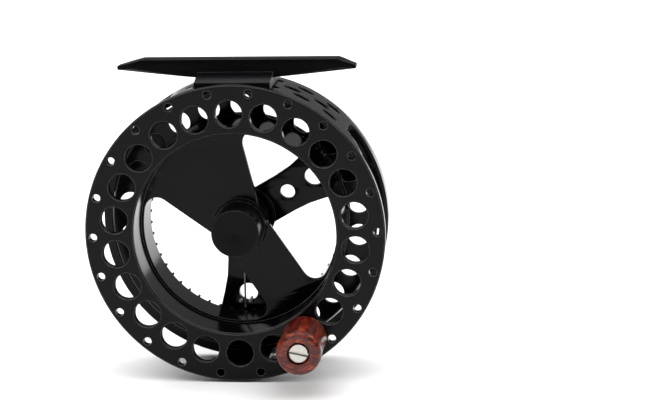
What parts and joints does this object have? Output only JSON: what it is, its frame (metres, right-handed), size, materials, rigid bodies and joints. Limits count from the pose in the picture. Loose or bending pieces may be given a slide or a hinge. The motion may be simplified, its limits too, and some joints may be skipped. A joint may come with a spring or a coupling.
{
  "type": "fly reel",
  "caption": "Skeleton-frame click-drag fly reel with a perforated large-arbor spool, wooden handle knob and T-shaped foot.",
  "frame": {"origin": "centre of the foot's flat top face", "axes": "+Z out of the foot's top, away from the spool; +Y along the spool axis, from the handle side to the back of the frame; +X along the foot"},
  "size_m": [0.08, 0.0465, 0.0853],
  "materials": {
    "anodised": "satin black anodised",
    "gloss_black": "fine satin black anodised",
    "steel": "turned stainless",
    "spring_steel": "drawn wire",
    "bronze": "turned bearing bronze",
    "wood": "lacquered red-brown hardwood",
    "rubber": "matt",
    "polymer": "matt"
  },
  "bodies": {
    "frame": {"frame_cage": "anodised", "reel_foot": "anodised", "foot_screw_left": "steel", "foot_screw_right": "steel", "spindle": "steel", "spindle_screw": "steel", "retaining_screw": "steel", "retaining_washer": "spring_steel", "thrust_washer": "polymer", "click_spring_screw": "steel", "click_pin_left": "steel", "click_pin_right": "steel"},
    "spool": {"spool": "anodised", "click_ring": "anodised", "hub_cap": "gloss_black", "cap_o_ring": "rubber", "bushing_front": "bronze", "bushing_rear": "bronze", "handle_post": "steel", "handle_screw": "steel", "handle_washer": "polymer"},
    "knob": {"handle_knob": "wood", "handle_bush": "bronze"},
    "click_wire": {"click_spring": "spring_steel"}
  },
  "joints": [
    {"name": "spool_spin", "type": "hinge", "parent": "frame", "child": "spool", "pos_m": [0, -0.014, -0.0453], "axis": [0, 1, 0], "continuous": true},
    {"name": "knob_spin", "type": "hinge", "parent": "spool", "child": "knob", "pos_m": [0.01826, -0.022, -0.07279], "axis": [0, 1, 0], "continuous": true},
    {"name": "click_flex", "type": "hinge", "parent": "frame", "child": "click_wire", "pos_m": [0, 0.0106, -0.0569], "axis": [0, 1, 0], "range_deg": [-2.4, 2.4], "stiffness_Nm_per_rad": 0.5}
  ]
}
